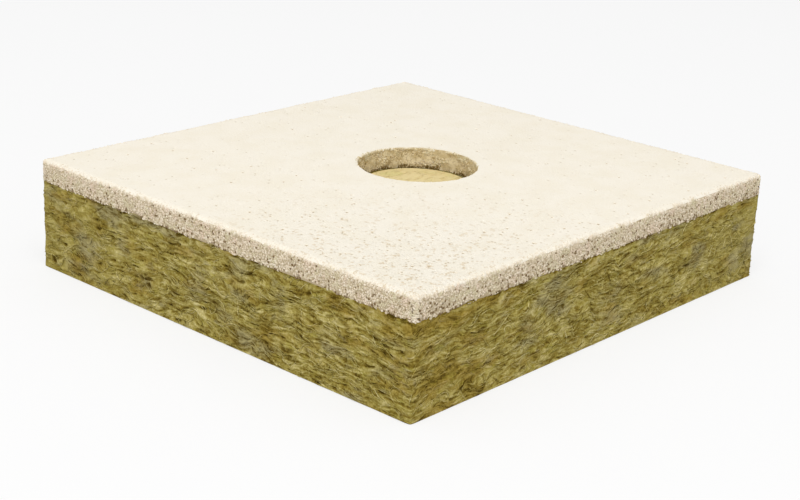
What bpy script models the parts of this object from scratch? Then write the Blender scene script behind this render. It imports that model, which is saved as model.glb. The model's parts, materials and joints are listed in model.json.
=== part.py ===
"""Acoustic panel sample: a bonded-granule facing board on a mineral wool slab, with one round cut-out in the board.

Run with: blender --background --python part.py
Units are metres and +Z is up. The origin is the centre of the slab's flat back face, and the finished face looks up.
"""

import math

import bmesh
import bpy
from mathutils import Vector, noise

# Overall sizes. X runs along the panel's length and Y along its width.
PANEL_LENGTH = 0.300
PANEL_WIDTH = 0.280
WOOL_THICKNESS = 0.050
BOARD_THICKNESS = 0.0125
GLUE_LINE = 0.0003

# The round cut-out, made with a hole saw whose teeth tore a shallow groove in the wool.
CUT_OUT_DIAMETER = 0.068
CUT_OUT_X = 0.007
CUT_OUT_Y = 0.0
SAW_KERF_WIDTH = 0.0024
SAW_KERF_DEPTH = 0.0015

# The wool's cut sides: matted layers that run along the slab, crimped into long waves, with a straight back edge.
WOOL_CORNER_RADIUS = 0.0030
STRAIGHT_EDGE_HEIGHT = 0.006
FURROW_DEPTH = 0.0015
LAYER_PITCH = 0.0065
TUFT_LENGTH = 0.020
CRIMP_HEIGHT = 0.005
CRIMP_LENGTH = 0.045

# The board's sawn sides: crumbled where granules broke away, and worn round at the finished face.
BOARD_CORNER_RADIUS = 0.0018
WORN_EDGE_RADIUS = 0.0016
CHIPPED_EDGE = 0.0004
CRUMBLE_DEPTH = 0.0006
CRUMBLE_PITCH = 0.0045
CUT_OUT_WORN_EDGE = 0.0009

# How finely the rough surfaces are divided.
OUTLINE_STEP = 0.006
LAYER_STEP = 0.0032
WALL_STEP = 0.004
CORNER_STEPS = 3
WORN_EDGE_STEPS = 3
CUT_OUT_STEPS = 64

CUTTER_MARGIN = 0.002
MERGE_DISTANCE = 1e-6

WOOL_COLOUR = (0.36, 0.28, 0.10, 1.0)
WOOL_ROUGHNESS = 0.95
BOARD_COLOUR = (0.86, 0.78, 0.65, 1.0)
BOARD_ROUGHNESS = 0.9

BOARD_BOTTOM = WOOL_THICKNESS + GLUE_LINE
BOARD_TOP = BOARD_BOTTOM + BOARD_THICKNESS
CUT_OUT_RADIUS = CUT_OUT_DIAMETER / 2


def clear_scene():
    """Remove every object that the file opened with."""
    for obj in list(bpy.data.objects):
        bpy.data.objects.remove(obj, do_unlink=True)


def surface(name, colour, roughness):
    """A matt, non-metallic material."""
    material = bpy.data.materials.new(name)
    material.use_nodes = True
    shader = material.node_tree.nodes["Principled BSDF"]
    shader.inputs["Base Color"].default_value = colour
    shader.inputs["Roughness"].default_value = roughness
    shader.inputs["Metallic"].default_value = 0.0
    return material


def parts_of(span, step):
    """How many equal parts, each near the given step, a span is divided into."""
    return max(1, round(span / step))


def levels(low, high, step):
    """Evenly spaced heights from low to high, ends included."""
    count = parts_of(high - low, step)
    return [low + (high - low) * i / count for i in range(count + 1)]


def rectangle_outline(length, width, corner_radius):
    """Points round a rectangle with rounded corners, each with its outward direction, anticlockwise from +X."""
    half_x = length / 2 - corner_radius
    half_y = width / 2 - corner_radius
    runs = (
        (Vector((half_x, -half_y)), Vector((0, 1)), 2 * half_y, 0.0),
        (Vector((half_x, half_y)), Vector((-1, 0)), 2 * half_x, 90.0),
        (Vector((-half_x, half_y)), Vector((0, -1)), 2 * half_y, 180.0),
        (Vector((-half_x, -half_y)), Vector((1, 0)), 2 * half_x, 270.0),
    )
    outline = []
    for start, along, run, facing in runs:
        outward = Vector((math.cos(math.radians(facing)), math.sin(math.radians(facing))))
        count = parts_of(run, OUTLINE_STEP)
        for i in range(count):
            outline.append((start + along * run * i / count + outward * corner_radius, outward))
        corner = start + along * run
        for i in range(CORNER_STEPS):
            turn = math.radians(facing + 90.0 * i / CORNER_STEPS)
            outward = Vector((math.cos(turn), math.sin(turn)))
            outline.append((corner + outward * corner_radius, outward))
    return outline


def circle_outline(centre, radius, steps):
    """Points round a circle, each with its outward direction."""
    outline = []
    for i in range(steps):
        turn = 2 * math.pi * i / steps
        outward = Vector((math.cos(turn), math.sin(turn)))
        outline.append((centre + outward * radius, outward))
    return outline


def furrow(point):
    """How far a wool side is sunk at this point: 0 on a tuft, up to FURROW_DEPTH between two matted layers."""
    crimp = CRIMP_HEIGHT * noise.noise(point / CRIMP_LENGTH)
    layered = Vector((point.x / TUFT_LENGTH, point.y / TUFT_LENGTH, (point.z + crimp) / LAYER_PITCH))
    fold = noise.noise(layered) + 0.5 * noise.noise(layered * 2.1)
    above_back_edge = min(1.0, point.z / STRAIGHT_EDGE_HEIGHT)
    return above_back_edge * FURROW_DEPTH * min(1.0, max(0.0, 0.45 - 0.9 * fold))


def crumble(point):
    """How far a board side is sunk at this point: 0 on a whole granule, up to CRUMBLE_DEPTH where some broke away."""
    rough = noise.noise(point / CRUMBLE_PITCH) + 0.4 * noise.noise(point * 2.3 / CRUMBLE_PITCH)
    return CRUMBLE_DEPTH * min(1.0, max(0.0, 0.35 - rough))


def ring_of(bm, outline, height, inset, relief):
    """Add one closed loop of vertices at a height: the outline moved inwards by inset and by the relief there."""
    verts = []
    for place, outward in outline:
        depth = inset + relief(Vector((place.x, place.y, height)))
        moved = place - outward * depth
        verts.append(bm.verts.new((moved.x, moved.y, height)))
    return verts


def edges_of(bm, verts):
    """Edges that close a loop of vertices."""
    return [bm.edges.new((verts[i - 1], verts[i])) for i in range(len(verts))]


def lofted_solid(name, outline, sections, relief, material):
    """A solid through one loop for each (height, inset) section, with flat ends."""
    bm = bmesh.new()
    loops = [edges_of(bm, ring_of(bm, outline, height, inset, relief)) for height, inset in sections]
    for lower, upper in zip(loops, loops[1:]):
        bmesh.ops.bridge_loops(bm, edges=lower + upper)
    for end in (loops[0], loops[-1]):
        bmesh.ops.contextual_create(bm, geom=end)
    bmesh.ops.recalc_face_normals(bm, faces=bm.faces)
    mesh = bpy.data.meshes.new(name)
    bm.to_mesh(mesh)
    bm.free()
    mesh.materials.append(material)
    mesh.shade_smooth()
    mesh.set_sharp_from_angle(angle=math.radians(40))
    obj = bpy.data.objects.new(name, mesh)
    bpy.context.scene.collection.objects.link(obj)
    return obj


def as_cutter(obj):
    """Mark an object as a helper that only cuts others."""
    obj.hide_render = True
    obj.display_type = "WIRE"
    return obj


def cut(target, cutter):
    """Subtract the cutter from the target."""
    boolean = target.modifiers.new("cut_" + cutter.name, "BOOLEAN")
    boolean.operation = "DIFFERENCE"
    boolean.solver = "EXACT"
    boolean.object = cutter


def cut_out_centre():
    """The cut-out's centre in plan."""
    return Vector((CUT_OUT_X, CUT_OUT_Y))


def saw_kerf_cutter():
    """The ring-shaped groove that the hole saw's teeth left in the wool, inside the cut-out's wall."""
    bm = bmesh.new()
    inner = CUT_OUT_RADIUS - SAW_KERF_WIDTH
    bottom = WOOL_THICKNESS - SAW_KERF_DEPTH
    top = WOOL_THICKNESS + CUTTER_MARGIN
    corners = ((inner, bottom), (CUT_OUT_RADIUS, bottom), (CUT_OUT_RADIUS, top), (inner, top))
    verts = [bm.verts.new((radius, 0.0, height)) for radius, height in corners]
    profile = bm.faces.new(verts)
    bmesh.ops.spin(
        bm,
        geom=[profile],
        cent=(0.0, 0.0, 0.0),
        axis=(0.0, 0.0, 1.0),
        angle=2 * math.pi,
        steps=CUT_OUT_STEPS,
        use_merge=True,
    )
    bmesh.ops.remove_doubles(bm, verts=bm.verts, dist=MERGE_DISTANCE)
    inner_faces = [face for face in bm.faces if all(len(edge.link_faces) > 2 for edge in face.edges)]
    bmesh.ops.delete(bm, geom=inner_faces, context="FACES_ONLY")
    bmesh.ops.recalc_face_normals(bm, faces=bm.faces)
    mesh = bpy.data.meshes.new("saw_kerf")
    bm.to_mesh(mesh)
    bm.free()
    obj = bpy.data.objects.new("saw_kerf", mesh)
    obj.location = (CUT_OUT_X, CUT_OUT_Y, 0.0)
    bpy.context.scene.collection.objects.link(obj)
    return as_cutter(obj)


def mineral_wool_slab():
    """The slab: flat back and front faces, and four cut sides with matted, wavy layers."""
    outline = rectangle_outline(PANEL_LENGTH, PANEL_WIDTH, WOOL_CORNER_RADIUS)
    sections = [(height, 0.0) for height in levels(0.0, WOOL_THICKNESS, LAYER_STEP)]
    material = surface("mineral_wool", WOOL_COLOUR, WOOL_ROUGHNESS)
    slab = lofted_solid("mineral_wool_slab", outline, sections, furrow, material)
    cut(slab, saw_kerf_cutter())
    return slab


def worn_edge(radius):
    """(drop below the finished face, inset) pairs down a quarter-round worn edge, from its foot to the face."""
    pairs = []
    for i in range(WORN_EDGE_STEPS + 1):
        turn = math.radians(90.0 * i / WORN_EDGE_STEPS)
        pairs.append((radius * (1 - math.sin(turn)), radius * (1 - math.cos(turn))))
    return pairs


def cut_out_cutter(material):
    """The hole saw's plug: a rough cylinder that widens at the finished face."""
    outline = circle_outline(cut_out_centre(), CUT_OUT_RADIUS, CUT_OUT_STEPS)
    sections = [(BOARD_BOTTOM - CUTTER_MARGIN, 0.0)]
    foot = BOARD_TOP - CUT_OUT_WORN_EDGE
    sections += [(height, 0.0) for height in levels(BOARD_BOTTOM + CHIPPED_EDGE, foot, WALL_STEP)[:-1]]
    sections += [(BOARD_TOP - drop, -inset) for drop, inset in worn_edge(CUT_OUT_WORN_EDGE)]
    sections.append((BOARD_TOP + CUTTER_MARGIN, -CUT_OUT_WORN_EDGE))
    return as_cutter(lofted_solid("cut_out_plug", outline, sections, crumble, material))


def facing_board():
    """The board: a flat slab of bonded granules with crumbled sides, a worn upper edge and the round cut-out."""
    outline = rectangle_outline(PANEL_LENGTH, PANEL_WIDTH, BOARD_CORNER_RADIUS)
    foot = BOARD_TOP - WORN_EDGE_RADIUS
    sections = [(BOARD_BOTTOM, CHIPPED_EDGE)]
    sections += [(height, 0.0) for height in levels(BOARD_BOTTOM + CHIPPED_EDGE, foot, WALL_STEP)[:-1]]
    sections += [(BOARD_TOP - drop, inset) for drop, inset in worn_edge(WORN_EDGE_RADIUS)]
    material = surface("bonded_granules", BOARD_COLOUR, BOARD_ROUGHNESS)
    board = lofted_solid("facing_board", outline, sections, crumble, material)
    cut(board, cut_out_cutter(material))
    return board


def build_panel():
    """Make the slab and the board, and carry both on one empty at the origin."""
    clear_scene()
    panel = bpy.data.objects.new("acoustic_panel", None)
    bpy.context.scene.collection.objects.link(panel)
    for piece in (mineral_wool_slab(), facing_board()):
        piece.parent = panel


build_panel()
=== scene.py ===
"""Looks of a two-layer acoustic panel: a board of bonded granules on a slab of matted mineral wool.

The layers' corners and the cut-out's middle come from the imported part. Lengths are in metres, +Z is
up, and the panel lies on its wool back.
"""

from __future__ import annotations

import itertools
import json
import logging
import math
from collections.abc import Callable, Iterator, Sequence
from contextlib import contextmanager
from dataclasses import dataclass, field
from enum import Enum, auto
from functools import cached_property, reduce

import bmesh
import bpy
import numpy as np
from bpy.types import Material, Mesh, Node, NodeSocket, NodeTree, Object
from mathutils import Matrix, Vector
from mathutils.bvhtree import BVHTree

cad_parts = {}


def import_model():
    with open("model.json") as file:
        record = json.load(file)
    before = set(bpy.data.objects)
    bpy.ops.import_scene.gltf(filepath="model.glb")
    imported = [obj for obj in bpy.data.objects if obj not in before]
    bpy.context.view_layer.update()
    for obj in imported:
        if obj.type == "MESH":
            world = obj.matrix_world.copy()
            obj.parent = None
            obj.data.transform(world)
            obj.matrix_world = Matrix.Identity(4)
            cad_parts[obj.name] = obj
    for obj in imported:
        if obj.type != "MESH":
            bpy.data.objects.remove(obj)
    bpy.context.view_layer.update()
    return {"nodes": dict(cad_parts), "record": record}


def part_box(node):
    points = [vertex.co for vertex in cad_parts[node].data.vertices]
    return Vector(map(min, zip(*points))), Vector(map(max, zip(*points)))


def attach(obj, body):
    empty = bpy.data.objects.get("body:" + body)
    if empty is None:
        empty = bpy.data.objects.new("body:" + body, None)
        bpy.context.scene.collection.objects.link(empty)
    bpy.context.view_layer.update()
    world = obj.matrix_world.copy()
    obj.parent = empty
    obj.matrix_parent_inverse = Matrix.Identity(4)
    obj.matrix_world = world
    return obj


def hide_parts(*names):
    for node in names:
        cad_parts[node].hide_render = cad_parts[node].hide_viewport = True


log = logging.getLogger("acoustic_panel")

BOARD_NODE = "facing_board"
WOOL_NODE = "mineral_wool_slab"
BODY = "root"
CUT_OUT_RADIUS = 0.034
FLOOR_GAP = 0.0003
TOLERANCE = 1e-6
NO_LENGTH = 1e-9
QUARTER_TURN = math.pi / 2


class Side(Enum):
    """The panel's four sides, in their order anticlockwise from above."""

    FRONT = 0
    RIGHT = 1
    BACK = 2
    LEFT = 3

    @property
    def label(self) -> str:
        """The side's name, as its pieces carry it."""
        return self.name.lower()


def select_only(obj: Object) -> None:
    """Make one object the only selected one, and the active one.

    Args:
        obj: The object to select.
    """
    bpy.ops.object.select_all(action="DESELECT")
    obj.select_set(True)
    bpy.context.view_layer.objects.active = obj


def added(add: Callable[..., set[str]], name: str = "", **settings: object) -> Object:
    """Add a primitive or a camera while nothing else is selected.

    Args:
        add: The operator that adds it.
        name: The new object's name, where it is kept.
        settings: The operator's own settings.

    Returns:
        The new object.
    """
    bpy.ops.object.select_all(action="DESELECT")
    add(**settings)
    obj = bpy.context.active_object
    obj.name = name or obj.name
    return obj


@contextmanager
def editing(obj: Object) -> Iterator[None]:
    """Keep one object in edit mode for the block that follows.

    Args:
        obj: The object to edit.
    """
    select_only(obj)
    bpy.ops.object.mode_set(mode="EDIT")
    try:
        yield
    finally:
        bpy.ops.object.mode_set(mode="OBJECT")


def pick(obj: Object, kind: str, wanted: Callable[[bmesh.types.BMElem], bool]) -> None:
    """Select only the vertices, edges or faces that pass a test, in edit mode.

    Args:
        obj: The object that is being edited.
        kind: VERT, EDGE or FACE.
        wanted: The test.
    """
    bpy.ops.mesh.select_mode(type=kind)
    bpy.ops.mesh.select_all(action="DESELECT")
    sheet = bmesh.from_edit_mesh(obj.data)
    elements = {"VERT": sheet.verts, "EDGE": sheet.edges, "FACE": sheet.faces}[kind]
    for element in [one for one in elements if wanted(one)]:
        element.select_set(True)
    bmesh.update_edit_mesh(obj.data)


def climbs(least: float) -> Callable[[bmesh.types.BMEdge], bool]:
    """A test for edges whose ends differ in height by more than a least height."""
    return lambda edge: abs(edge.verts[0].co.z - edge.verts[1].co.z) > least


def pick_boundary() -> None:
    """Select only the boundary of an open sheet, in edit mode."""
    bpy.ops.mesh.select_all(action="SELECT")
    bpy.ops.mesh.region_to_loop()


def extrude_edges(rise: float) -> None:
    """Extrude the selected edges straight up by a rise, in edit mode."""
    bpy.ops.mesh.extrude_edges_move(TRANSFORM_OT_translate={"value": (0.0, 0.0, rise)})


def scale(by: Sequence[float], centre: Sequence[float] = (0.0, 0.0, 0.0)) -> None:
    """Scale what is selected about a point, in edit mode."""
    bpy.ops.transform.resize(value=tuple(by), center_override=tuple(centre))


def face_outwards() -> None:
    """Turn every face of a closed mesh outwards, in edit mode."""
    bpy.ops.mesh.select_all(action="SELECT")
    bpy.ops.mesh.normals_make_consistent(inside=False)


def shade(obj: Object, degrees: float) -> None:
    """Shade an object smooth, apart from the edges that are sharper than an angle."""
    select_only(obj)
    bpy.ops.object.shade_smooth_by_angle(angle=math.radians(degrees))


def cut_away(obj: Object, cutter: Object) -> None:
    """Cut one object out of another, and remove the cutter.

    Args:
        obj: The object to cut.
        cutter: The shape that is taken away.
    """
    select_only(obj)
    modifier = obj.modifiers.new("cut", "BOOLEAN")
    modifier.operation = "DIFFERENCE"
    modifier.solver = "EXACT"
    modifier.object = cutter
    bpy.ops.object.modifier_apply(modifier="cut")
    bpy.data.objects.remove(cutter)


def raised(flat: np.ndarray, height: np.ndarray) -> np.ndarray:
    """Points in space, from flat ones and their heights."""
    return np.concatenate([flat, np.asarray(height)[..., None]], axis=-1)


def headings(angle: np.ndarray) -> np.ndarray:
    """Flat unit vectors, at angles from X."""
    return np.stack([np.cos(angle), np.sin(angle)], axis=-1)


def unit(vectors: np.ndarray) -> np.ndarray:
    """The same directions, each 1 long."""
    return vectors / np.maximum(np.linalg.norm(vectors, axis=-1, keepdims=True), NO_LENGTH)


def fade(distance: np.ndarray, reach: float) -> np.ndarray:
    """1 where a distance is 0, falling evenly to 0 where it is the reach."""
    return np.clip(1.0 - distance / reach, 0.0, 1.0)


@dataclass(frozen=True)
class SmoothNoise:
    """Repeatable smooth noise from -1 to 1, in cells of a size across and in height."""

    seed: int
    across: float
    high: float
    cells: int = 61

    @cached_property
    def lattice(self) -> np.ndarray:
        """Random values at the cells' corners, after which the noise repeats."""
        return np.random.default_rng(self.seed).uniform(-1.0, 1.0, (self.cells,) * 3)

    def __call__(self, points: np.ndarray) -> np.ndarray:
        """Read the noise.

        Args:
            points: Places, with X, Y and Z in the last axis.

        Returns:
            One value for each point.
        """
        scaled = points / np.array([self.across, self.across, self.high])
        low = np.floor(scaled).astype(int)
        part = scaled - low
        part = part * part * (3.0 - 2.0 * part)
        total = np.zeros(points.shape[:-1])
        for corner in itertools.product((0, 1), repeat=3):
            index = np.mod(low + np.array(corner), self.cells)
            weight = np.prod(np.where(np.array(corner) == 1, part, 1.0 - part), axis=-1)
            total += weight * self.lattice[index[..., 0], index[..., 1], index[..., 2]]
        return total


@dataclass(frozen=True)
class Perimeter:
    """A rectangle with rounded corners, measured by the distance along it, anticlockwise."""

    length: float
    width: float
    corner_radius: float

    @property
    def straights(self) -> np.ndarray:
        """Length of each side's straight run."""
        return np.array((self.length, self.width) * 2) - 2.0 * self.corner_radius

    @property
    def breaks(self) -> np.ndarray:
        """Distances at which the sides start, in the corners' middles, and the whole way round."""
        return np.concatenate([[0.0], np.cumsum(self.straights + QUARTER_TURN * self.corner_radius)])

    def side_span(self, side: Side) -> tuple[float, float]:
        """Where a side starts and ends, corner middle to corner middle."""
        return float(self.breaks[side.value]), float(self.breaks[side.value + 1])

    def from_corner(self, distance: np.ndarray) -> np.ndarray:
        """Distance along the perimeter to the nearest corner's middle."""
        wrapped = np.mod(distance, self.breaks[-1])
        return np.min(np.abs(wrapped[..., None] - self.breaks), axis=-1)

    def at(self, distance: np.ndarray) -> tuple[np.ndarray, np.ndarray]:
        """Find places on the perimeter.

        Args:
            distance: Distances along it, which may pass the start or the end.

        Returns:
            The points and their outward directions, each with X and Y in the last axis.
        """
        breaks = self.breaks
        wrapped = np.mod(distance, breaks[-1])
        side = np.clip(np.searchsorted(breaks, wrapped, side="right") - 1, 0, 3)
        half_arc = QUARTER_TURN / 2 * self.corner_radius
        local = wrapped - breaks[side] - half_arc
        straight = self.straights[side]
        along = np.clip(local, 0.0, straight)
        turn = (np.minimum(local, 0.0) + np.maximum(local - straight, 0.0)) / self.corner_radius
        facing = side * QUARTER_TURN - QUARTER_TURN
        outward_side = headings(facing)
        forward_side = np.stack([-np.sin(facing), np.cos(facing)], axis=-1)
        across = np.where(side % 2 == 0, self.width, self.length) / 2 - self.corner_radius
        start = outward_side * across[..., None] - forward_side * (straight / 2)[..., None]
        outward = outward_side * np.cos(turn)[..., None] + forward_side * np.sin(turn)[..., None]
        return start + forward_side * along[..., None] + outward * self.corner_radius, outward


@dataclass(frozen=True)
class Template:
    """One modelled shape, kept as triangles, of which many copies are made."""

    vertices: np.ndarray
    triangles: np.ndarray

    @classmethod
    def take(cls, obj: Object) -> Template:
        """Read a modelled object's triangles and remove the object.

        Args:
            obj: The object, already made of triangles.

        Returns:
            The template.
        """
        mesh = obj.data
        vertices = np.empty(len(mesh.vertices) * 3)
        mesh.vertices.foreach_get("co", vertices)
        triangles = np.empty(len(mesh.polygons) * 3, dtype=np.int64)
        mesh.polygons.foreach_get("vertices", triangles)
        bpy.data.objects.remove(obj)
        bpy.data.meshes.remove(mesh)
        return cls(vertices.reshape(-1, 3), triangles.reshape(-1, 3))

    def repeated(self, count: int) -> np.ndarray:
        """Vertex numbers of the triangles of a row of copies."""
        steps = np.arange(count)[:, None, None] * len(self.vertices)
        return (steps + self.triangles[None]).reshape(-1, 3)


def add_values(mesh: Mesh, values: dict[str, np.ndarray]) -> None:
    """Store values at a mesh's vertices.

    Args:
        mesh: The mesh.
        values: Attribute name to one value for each vertex.
    """
    for name, numbers in values.items():
        attribute = mesh.attributes.new(name, "FLOAT", "POINT")
        attribute.data.foreach_set("value", numbers.astype(np.float32).ravel())


def object_of(
    name: str,
    vertices: np.ndarray,
    triangles: np.ndarray,
    values: dict[str, np.ndarray],
    material: Material,
) -> Object:
    """Make one smooth-shaded object of triangles.

    Args:
        name: The object's name.
        vertices: Points, one row each.
        triangles: Vertex numbers, one row for each triangle.
        values: Attributes that the material reads, one value for each vertex.
        material: The finish.

    Returns:
        The object, linked to the scene.
    """
    mesh = bpy.data.meshes.new(name)
    mesh.vertices.add(len(vertices))
    mesh.vertices.foreach_set("co", vertices.astype(np.float32).ravel())
    mesh.loops.add(triangles.size)
    mesh.loops.foreach_set("vertex_index", triangles.astype(np.int32).ravel())
    mesh.polygons.add(len(triangles))
    mesh.polygons.foreach_set("loop_start", np.arange(0, triangles.size, 3, dtype=np.int32))
    mesh.update(calc_edges=True)
    add_values(mesh, values)
    mesh.shade_smooth()
    mesh.materials.append(material)
    obj = bpy.data.objects.new(name, mesh)
    bpy.context.scene.collection.objects.link(obj)
    return obj


@dataclass(frozen=True)
class Colour:
    """A colour as it looks on a screen, in 256 steps."""

    red: int
    green: int
    blue: int

    @property
    def linear(self) -> tuple[float, float, float, float]:
        """The same colour as a share of the light, with full cover."""
        shares = (channel / 255 for channel in (self.red, self.green, self.blue))
        light = (s / 12.92 if s <= 0.04045 else ((s + 0.055) / 1.055) ** 2.4 for s in shares)
        return (*light, 1.0)


def add_node(tree: NodeTree, kind: str, inputs: dict | None = None, **settings: object) -> Node:
    """Add a node to a material or world.

    Args:
        tree: The material's or the world's nodes.
        kind: The node's type.
        inputs: Socket name or number to a value, or to the socket that feeds it.
        settings: The node's own properties.

    Returns:
        The node.
    """
    node = tree.nodes.new(kind)
    for key, value in settings.items():
        setattr(node, key, value)
    for key, value in (inputs or {}).items():
        if isinstance(value, NodeSocket):
            tree.links.new(value, node.inputs[key])
        else:
            node.inputs[key].default_value = value
    return node


@dataclass(frozen=True)
class Patches:
    """Soft-edged patches where a noise, of so many cells a metre, passes from low to high."""

    cells: float
    low: float
    high: float
    strength: float = 1.0
    detail: float = 2.0


class Shading:
    """Builds one material's nodes, a node at a time."""

    def __init__(self, name: str, roughness: float, specular: float) -> None:
        """Start a material.

        Args:
            name: The material's name.
            roughness: Middle roughness, for tools that don't follow the one that finish links.
            specular: Specular level all over the surface.
        """
        self.material = bpy.data.materials.new(name)
        self.material.use_nodes = True
        self.tree = self.material.node_tree
        self.shader = self.tree.nodes["Principled BSDF"]
        self.shader.inputs["Roughness"].default_value = roughness
        self.shader.inputs["Specular IOR Level"].default_value = specular
        self.place = self.add("ShaderNodeTexCoord").outputs["Object"]

    def add(self, kind: str, inputs: dict | None = None, **settings: object) -> Node:
        """Add a node to this material, as add_node does."""
        return add_node(self.tree, kind, inputs, **settings)

    def stretched(self, vector: NodeSocket, by: tuple[float, float, float]) -> NodeSocket:
        """Coordinates times a number for each axis."""
        node = self.add("ShaderNodeVectorMath", {0: vector, 1: by}, operation="MULTIPLY")
        return node.outputs[0]

    def noise(self, vector: NodeSocket, cells: float, detail: float = 2.0) -> NodeSocket:
        """Smooth noise around one half, in so many cells a metre."""
        inputs = {"Vector": vector, "Scale": cells, "Detail": detail}
        return self.add("ShaderNodeTexNoise", inputs).outputs["Fac"]

    def rounded_cells(self, cells: float) -> NodeSocket:
        """Distance to the nearest cell's middle, in so many cells a metre."""
        inputs = {"Vector": self.place, "Scale": cells}
        return self.add("ShaderNodeTexVoronoi", inputs, feature="SMOOTH_F1").outputs["Distance"]

    def attribute(self, name: str) -> NodeSocket:
        """A value that the mesh carries."""
        return self.add("ShaderNodeAttribute", attribute_name=name).outputs["Fac"]

    def axes(self) -> bpy.types.bpy_prop_collection:
        """The X, Y and Z coordinates."""
        return self.add("ShaderNodeSeparateXYZ", {0: self.place}).outputs

    def from_axis(self, centre: Vector) -> NodeSocket:
        """Distance from an upright axis."""
        inputs = {0: self.stretched(self.place, (1.0, 1.0, 0.0)), 1: (centre.x, centre.y, 0.0)}
        return self.add("ShaderNodeVectorMath", inputs, operation="DISTANCE").outputs["Value"]

    def near(self, places: Sequence[Vector], reach: float) -> NodeSocket:
        """1 at the nearest of some upright axes, falling smoothly to 0 at a reach from it."""
        distances = [self.from_axis(place) for place in places]
        nearest = reduce(lambda one, other: self.math("MINIMUM", one, other), distances)
        return self.math("SUBTRACT", 1.0, self.between(nearest, 0.0, reach))

    def math(self, operation: str, *values: object, clamp: bool = False) -> NodeSocket:
        """One step of arithmetic on sockets or numbers."""
        inputs = dict(enumerate(values))
        return self.add("ShaderNodeMath", inputs, operation=operation, use_clamp=clamp).outputs[0]

    def total(self, *values: NodeSocket) -> NodeSocket:
        """The sum of some sockets."""
        return reduce(lambda one, other: self.math("ADD", one, other), values)

    def spread(self, value: NodeSocket, low: float, high: float) -> NodeSocket:
        """A value from 0 to 1, made one from low to high."""
        return self.math("MULTIPLY_ADD", value, high - low, low)

    def around(self, value: NodeSocket, gain: float) -> NodeSocket:
        """Noise around one half, made noise around zero with another strength."""
        return self.spread(value, -gain / 2, gain / 2)

    def between(self, value: NodeSocket, low: float, high: float) -> NodeSocket:
        """A smooth step from 0 at low to 1 at high."""
        inputs = {"Value": value, "From Min": low, "From Max": high}
        node = self.add("ShaderNodeMapRange", inputs, interpolation_type="SMOOTHSTEP")
        return node.outputs["Result"]

    def patched(
        self, patches: Patches, vector: NodeSocket | None = None, shift: NodeSocket | float = 0.0
    ) -> NodeSocket:
        """How strongly some patches show at each place.

        Args:
            patches: The patches.
            vector: Coordinates, where they aren't the object's own.
            shift: What is added to the noise.

        Returns:
            0 to the patches' strength.
        """
        noise = self.noise(self.place if vector is None else vector, patches.cells, patches.detail)
        step = self.between(self.math("ADD", noise, shift), patches.low, patches.high)
        return self.math("MULTIPLY", step, patches.strength)

    def lines(self, value: NodeSocket, width: float) -> NodeSocket:
        """1 on the winding lines where noise passes one half, and 0 away from them."""
        off = self.math("ABSOLUTE", self.math("SUBTRACT", value, 0.5))
        return self.math("SUBTRACT", 1.0, self.between(off, 0.0, width))

    def ramp(self, value: NodeSocket, colours: Sequence[Colour]) -> NodeSocket:
        """Colours spread evenly from value 0 to value 1."""
        node = self.add("ShaderNodeValToRGB", {"Fac": value})
        stops = node.color_ramp.elements
        for number, colour in enumerate(colours):
            position = number / (len(colours) - 1)
            stop = stops[number] if number < 2 else stops.new(position)
            stop.position = position
            stop.color = colour.linear
        return node.outputs["Color"]

    def mix(self, share: NodeSocket, first: object, second: object) -> NodeSocket:
        """A blend of two colours."""
        node = self.add("ShaderNodeMix", {"Factor": share}, data_type="RGBA")
        for name, value in (("A", first), ("B", second)):
            socket = next(s for s in node.inputs if s.name == name and s.type == "RGBA")
            if isinstance(value, NodeSocket):
                self.tree.links.new(value, socket)
            else:
                socket.default_value = value.linear
        return next(s for s in node.outputs if s.type == "RGBA")

    def finish(
        self, colour: NodeSocket, relief: NodeSocket, depth: float, roughness: NodeSocket
    ) -> Material:
        """Connect the shader.

        Args:
            colour: The surface's colour.
            relief: Height of the fine relief, 0 to 1.
            depth: Depth of that relief.
            roughness: The surface's roughness.

        Returns:
            The material.
        """
        bump = self.add("ShaderNodeBump", {"Height": relief, "Distance": depth, "Strength": 1.0})
        sockets = {"Base Color": colour, "Normal": bump.outputs[0], "Roughness": roughness}
        for name, socket in sockets.items():
            self.tree.links.new(socket, self.shader.inputs[name])
        return self.material


@dataclass(frozen=True)
class Tint:
    """Another colour in patches, with more or less of it where the wool is richest in binder."""

    colour: Colour
    patches: Patches
    pull: float = 0.0


@dataclass(frozen=True)
class Streaks:
    """Noise drawn out along the wool's layers: size and strength of what it stands for."""

    length: float
    thickness: float
    detail: float
    gain: float


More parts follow.
